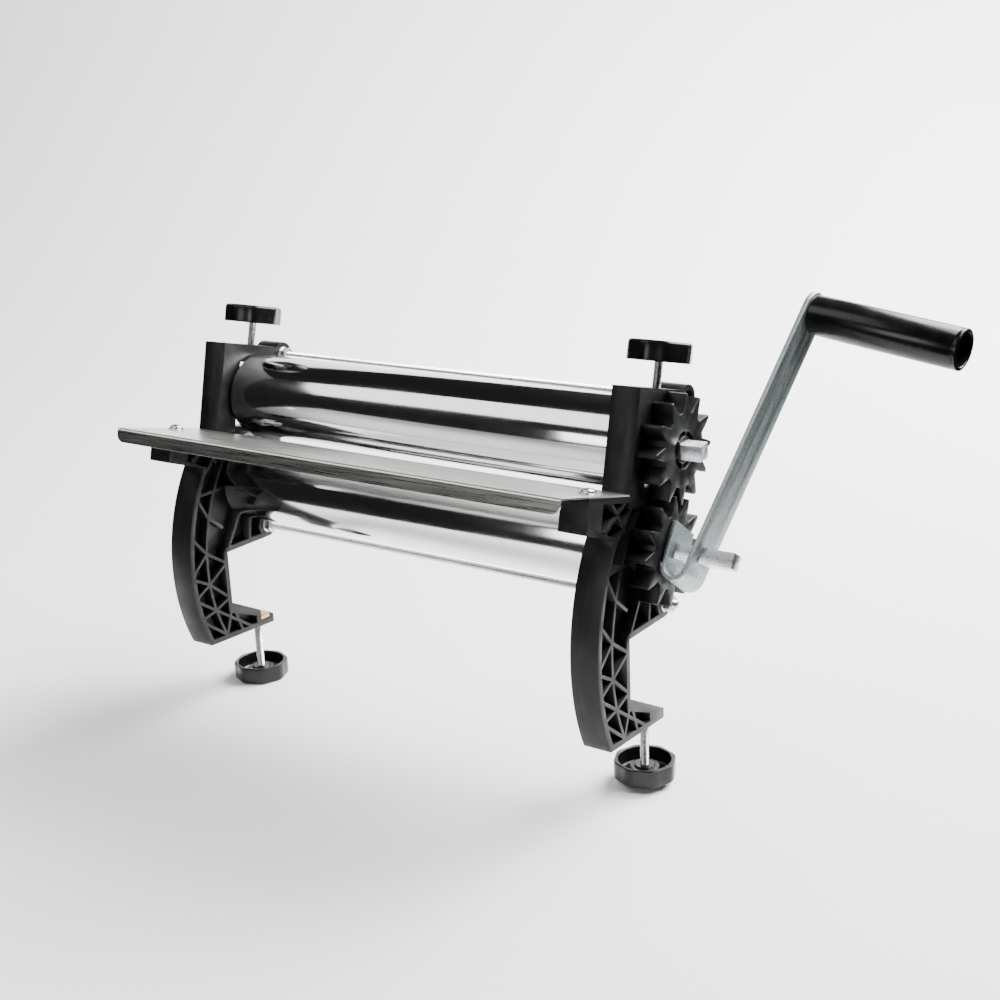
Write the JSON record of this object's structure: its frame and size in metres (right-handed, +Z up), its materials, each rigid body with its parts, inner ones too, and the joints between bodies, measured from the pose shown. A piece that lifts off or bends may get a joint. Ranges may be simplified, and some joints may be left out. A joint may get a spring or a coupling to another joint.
{
  "type": "etching press",
  "caption": "Hand-cranked etching press for a table edge: chromed rollers between black moulded side frames, meshed gears, feed tray, pressure knobs and table clamps.",
  "frame": {"origin": "the top corner of the table edge that the press is clamped to, midway between the side frames", "axes": "+X along the rollers towards the gears and crank, +Y over the table, +Z up from the table top"},
  "size_m": [0.5448, 0.216, 0.3164],
  "materials": {
    "black_nylon": "fine moulded satin",
    "black_gear": "moulded satin",
    "black_knob": "glossy moulded",
    "chrome_tube": "polished chrome plate",
    "bare_steel": "turned steel",
    "stainless": "brushed stainless sheet",
    "dull_zinc": "dull speckled zinc plate",
    "bright_zinc": "bright zinc plate",
    "yellow_zinc": "yellow passivated zinc plate"
  },
  "bodies": {
    "press": {"left_frame": "black_nylon", "right_frame": "black_nylon", "feed_tray": "stainless", "tray_screws": "bright_zinc", "tray_washers": "bright_zinc", "tray_nuts": "bright_zinc", "left_lower_bush": "black_nylon", "right_lower_bush": "black_nylon", "pressure_nuts": "bright_zinc", "top_tie_rod": "bright_zinc", "bottom_tie_rod": "bright_zinc", "tie_rod_nuts": "bright_zinc", "tie_rod_washers": "bright_zinc", "guide_bolt": "bright_zinc", "guide_nut": "bright_zinc", "clamp_nuts": "yellow_zinc"},
    "lower_drive": {"lower_roller": "chrome_tube", "lower_roller_plugs": "bare_steel", "lower_shaft": "bright_zinc", "lower_gear": "black_gear", "crank_arm": "dull_zinc", "crank_pin": "bright_zinc"},
    "grip": {"crank_grip": "black_knob"},
    "upper_carriage": {"left_bearing_block": "black_nylon", "right_bearing_block": "black_nylon"},
    "upper_roller_set": {"upper_roller": "chrome_tube", "upper_roller_plugs": "bare_steel", "upper_shaft": "bright_zinc", "upper_gear": "black_gear"},
    "left_pressure": {"left_pressure_screw": "bright_zinc", "left_pressure_knob": "black_knob"},
    "right_pressure": {"right_pressure_screw": "bright_zinc", "right_pressure_knob": "black_knob"},
    "left_pad": {"left_clamp_pad": "yellow_zinc"},
    "right_pad": {"right_clamp_pad": "yellow_zinc"},
    "left_clamp": {"left_clamp_screw": "bright_zinc", "left_clamp_knob": "black_knob"},
    "right_clamp": {"right_clamp_screw": "bright_zinc", "right_clamp_knob": "black_knob"}
  },
  "joints": [
    {"name": "crank_turn", "type": "hinge", "parent": "press", "child": "lower_drive", "pos_m": [0, 0.03069, 0.05074], "axis": [1, 0, 0], "continuous": true},
    {"name": "grip_spin", "type": "hinge", "parent": "lower_drive", "child": "grip", "pos_m": [0.24774, 0.12662, 0.18723], "axis": [0.9871, -0.0919, -0.1308], "continuous": true},
    {"name": "nip_adjust", "type": "slide", "parent": "press", "child": "upper_carriage", "axis": [0, 0.2334, 0.9724], "range_m": [-0.0037, 0.0035]},
    {"name": "upper_roll", "type": "hinge", "parent": "upper_carriage", "child": "upper_roller_set", "pos_m": [0, 0.04563, 0.11297], "axis": [1, 0, 0], "continuous": true},
    {"name": "left_pressure_turn", "type": "hinge", "parent": "upper_carriage", "child": "left_pressure", "pos_m": [-0.175, 0.04563, 0.11297], "axis": [0, 0.2334, 0.9724], "range_deg": [-1350, 1280]},
    {"name": "right_pressure_turn", "type": "hinge", "parent": "upper_carriage", "child": "right_pressure", "pos_m": [0.175, 0.04563, 0.11297], "axis": [0, 0.2334, 0.9724], "range_deg": [-1350, 1280]},
    {"name": "left_clamp_travel", "type": "slide", "parent": "press", "child": "left_pad", "axis": [0, 0, 1], "range_m": [0, 0.0315]},
    {"name": "right_clamp_travel", "type": "slide", "parent": "press", "child": "right_pad", "axis": [0, 0, 1], "range_m": [0, 0.028]},
    {"name": "left_clamp_turn", "type": "hinge", "parent": "left_pad", "child": "left_clamp", "pos_m": [-0.175, 0.0335, -0.08], "axis": [0, 0, 1], "range_deg": [-30, 11400]},
    {"name": "right_clamp_turn", "type": "hinge", "parent": "right_pad", "child": "right_clamp", "pos_m": [0.175, 0.0335, -0.08], "axis": [0, 0, 1], "range_deg": [-30, 10150]}
  ],
  "couplings": [
    {"joint": "upper_roll", "follows": "crank_turn", "ratio": -1},
    {"joint": "left_pressure_turn", "follows": "nip_adjust", "rad_per_m": 6283.2},
    {"joint": "right_pressure_turn", "follows": "nip_adjust", "rad_per_m": 6283.2},
    {"joint": "left_clamp_turn", "follows": "left_clamp_travel", "rad_per_m": 6283.2},
    {"joint": "right_clamp_turn", "follows": "right_clamp_travel", "rad_per_m": 6283.2}
  ]
}
